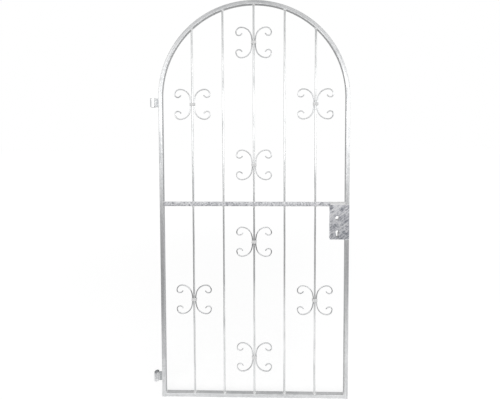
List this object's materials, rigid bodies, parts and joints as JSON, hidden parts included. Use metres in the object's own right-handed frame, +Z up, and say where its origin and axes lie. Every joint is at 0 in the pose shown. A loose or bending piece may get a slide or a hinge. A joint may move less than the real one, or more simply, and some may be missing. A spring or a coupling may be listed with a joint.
{
  "type": "arched garden gate leaf",
  "caption": "Arched garden gate leaf of galvanised steel tube with round bars, C-scrolls, a mid rail, an empty lock case on one edge and hinge eyes on the other.",
  "frame": {"origin": "on the hinge axis, at the underside of the lower hinge eye", "axes": "+X across the leaf from the hinge side to the lock side, +Y towards the back, +Z up"},
  "size_m": [1.0035, 0.027, 2.0249],
  "materials": {
    "galvanised_tube": "hot-dip galvanised, dull with a faint spangle",
    "galvanised_bar": "hot-dip galvanised, dull",
    "galvanised_scroll": "hot-dip galvanised, dull",
    "galvanised_hinge": "hot-dip galvanised, dull",
    "galvanised_sheet": "hot-dip galvanised, streaked with a coarse spangle"
  },
  "bodies": {
    "root": {"arch": "galvanised_tube", "left_stile": "galvanised_tube", "right_stile_upper": "galvanised_tube", "right_stile_lower": "galvanised_tube", "bottom_rail": "galvanised_tube", "mid_rail": "galvanised_tube", "mid_rail_over_lock": "galvanised_tube", "upper_bar_1": "galvanised_bar", "upper_bar_2": "galvanised_bar", "upper_bar_3": "galvanised_bar", "upper_bar_4": "galvanised_bar", "upper_bar_5": "galvanised_bar", "lower_bar_1": "galvanised_bar", "lower_bar_2": "galvanised_bar", "lower_bar_3": "galvanised_bar", "lower_bar_4": "galvanised_bar", "lower_bar_5": "galvanised_bar", "scrolls_top": "galvanised_scroll", "scrolls_upper_left": "galvanised_scroll", "scrolls_upper_right": "galvanised_scroll", "scrolls_upper_foot": "galvanised_scroll", "scrolls_lower_head": "galvanised_scroll", "scrolls_lower_left": "galvanised_scroll", "scrolls_lower_right": "galvanised_scroll", "scrolls_lower_foot": "galvanised_scroll", "collar_top": "galvanised_scroll", "collar_upper_left": "galvanised_scroll", "collar_upper_right": "galvanised_scroll", "collar_upper_foot": "galvanised_scroll", "collar_lower_head": "galvanised_scroll", "collar_lower_left": "galvanised_scroll", "collar_lower_right": "galvanised_scroll", "collar_lower_foot": "galvanised_scroll", "hinge_eye_upper": "galvanised_hinge", "hinge_eye_lower": "galvanised_hinge", "hinge_tail_upper": "galvanised_hinge", "hinge_tail_lower": "galvanised_hinge", "lock_front_plate": "galvanised_sheet", "lock_back_plate": "galvanised_sheet", "lock_side_plate": "galvanised_sheet", "lock_head_plate": "galvanised_sheet", "lock_foot_plate": "galvanised_sheet"}
  },
  "joints": []
}
